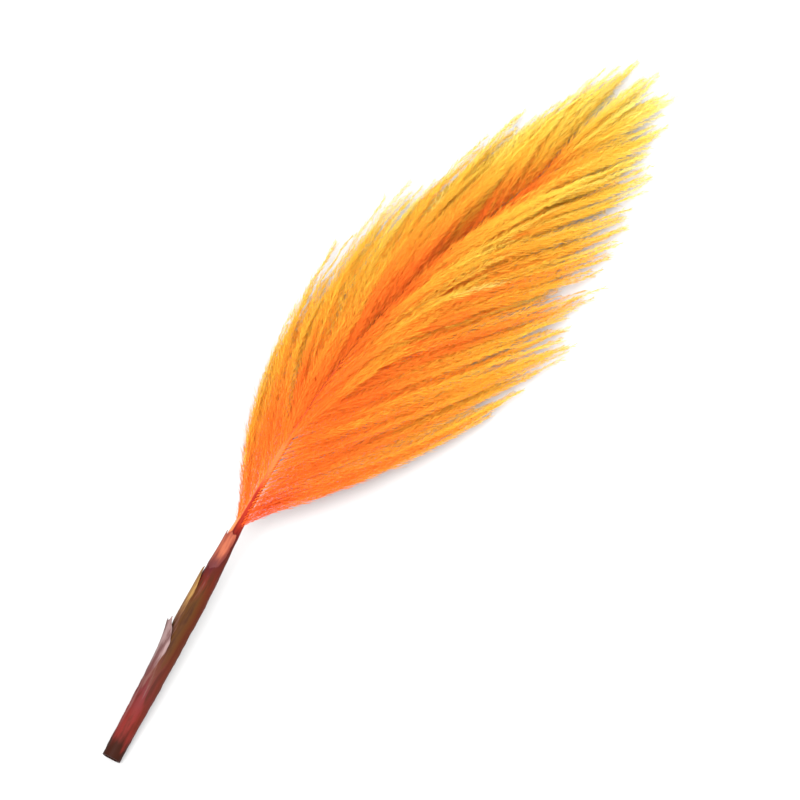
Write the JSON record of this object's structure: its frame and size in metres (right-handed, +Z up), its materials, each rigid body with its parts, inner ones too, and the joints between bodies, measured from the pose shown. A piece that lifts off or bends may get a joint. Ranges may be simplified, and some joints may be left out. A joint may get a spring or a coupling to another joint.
{
  "type": "cul de canard feather",
  "caption": "Small dyed duck down feather for fly tying: a dark bare quill and a soft, curved, one-sided plume of orange barbs, lying flat.",
  "frame": {"origin": "on the surface that the feather lies on, under the middle of its bounding box", "axes": "+X along the feather from the quill's butt to the vane's tip, +Y to the feather's left, narrow side, +Z up, its top side"},
  "size_m": [0.0544, 0.0149, 0.0044],
  "materials": {
    "vane": "matte"
  },
  "bodies": {
    "root": {"feather": "vane"}
  },
  "joints": []
}
